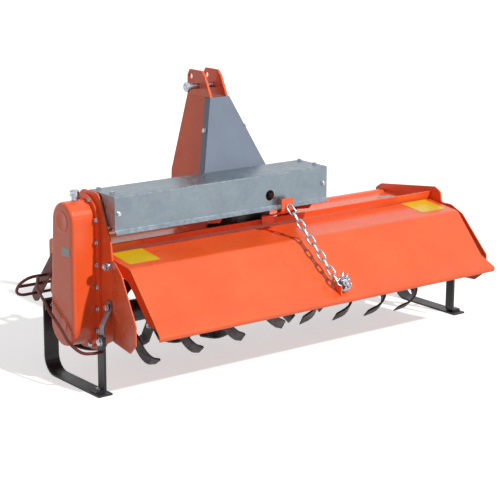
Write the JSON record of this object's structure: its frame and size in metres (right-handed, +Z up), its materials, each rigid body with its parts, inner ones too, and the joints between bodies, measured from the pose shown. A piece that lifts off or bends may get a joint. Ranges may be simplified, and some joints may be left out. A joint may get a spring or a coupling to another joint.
{
  "type": "rotary tiller",
  "caption": "Tractor-mounted rotary tiller with a bladed rotor, side chain drive, hinged tailgate, drive cover and depth skids.",
  "frame": {"origin": "middle of the outline on the floor under the skids", "axes": "+Z up, +Y towards the tractor, +X to the right as seen from behind"},
  "size_m": [1.6023, 0.7184, 0.896],
  "materials": {
    "orange_paint": "satin",
    "dark_red_paint": "satin",
    "black_paint": "satin",
    "grey_paint": "satin",
    "zinc_plate": "satin",
    "galvanised": "satin",
    "forged_steel": "matte"
  },
  "bodies": {
    "chassis": {"chain_bracket": "orange_paint", "chain_case": "orange_paint", "chain_case_flange": "orange_paint", "cover_support_left": "orange_paint", "cover_support_right": "orange_paint", "deck_hood": "orange_paint", "drive_tube": "black_paint", "filler_cap": "zinc_plate", "front_beam": "orange_paint", "front_guard": "dark_red_paint", "gearbox": "black_paint", "hitch_clevis_left": "orange_paint", "hitch_clevis_right": "orange_paint", "lift_chain": "zinc_plate", "lower_pin_left": "zinc_plate", "lower_pin_right": "zinc_plate", "pto_guard": "black_paint", "rotor_bearing_right": "black_paint", "shaft_cover": "galvanised", "shaft_cover_end_left": "galvanised", "shaft_cover_end_right": "galvanised", "side_hoop_left": "dark_red_paint", "side_hoop_right": "dark_red_paint", "side_plate_left": "orange_paint", "side_plate_right": "orange_paint", "skid_bracket_left": "orange_paint", "skid_bracket_right": "orange_paint", "skid_left": "black_paint", "skid_post_left": "black_paint", "skid_post_right": "black_paint", "skid_right": "black_paint", "skid_strut_left": "galvanised", "skid_strut_right": "galvanised", "tailgate_pin_left": "zinc_plate", "tailgate_pin_right": "zinc_plate", "top_link_pin": "zinc_plate", "tower_guard": "grey_paint", "tower_plate_left": "orange_paint", "tower_plate_right": "orange_paint", "wing_left": "orange_paint", "wing_right": "orange_paint"},
    "rotor": {"rotor_blades_1": "forged_steel", "rotor_blades_2": "forged_steel", "rotor_blades_3": "forged_steel", "rotor_blades_4": "forged_steel", "rotor_blades_5": "forged_steel", "rotor_blades_6": "forged_steel", "rotor_blades_7": "forged_steel", "rotor_blades_8": "forged_steel", "rotor_tube": "black_paint"},
    "input_shaft": {"pto_shaft": "zinc_plate"},
    "tailgate": {"chain_hook": "orange_paint", "chain_surplus": "zinc_plate", "tailgate_panel": "orange_paint"}
  },
  "joints": [
    {"name": "rotor_spin", "type": "hinge", "parent": "chassis", "child": "rotor", "pos_m": [0, 0.03422, 0.191], "axis": [-1, 0, 0], "continuous": true},
    {"name": "input_spin", "type": "hinge", "parent": "chassis", "child": "input_shaft", "pos_m": [-0.095, 0.18222, 0.487], "axis": [0, 1, 0], "continuous": true},
    {"name": "tailgate_lift", "type": "hinge", "parent": "chassis", "child": "tailgate", "pos_m": [0, -0.09878, 0.388], "axis": [-1, 0, 0], "range_deg": [0, 35], "deforming": ["lift_chain"]}
  ],
  "couplings": [
    {"joint": "input_spin", "follows": "rotor_spin", "ratio": 2.7}
  ]
}
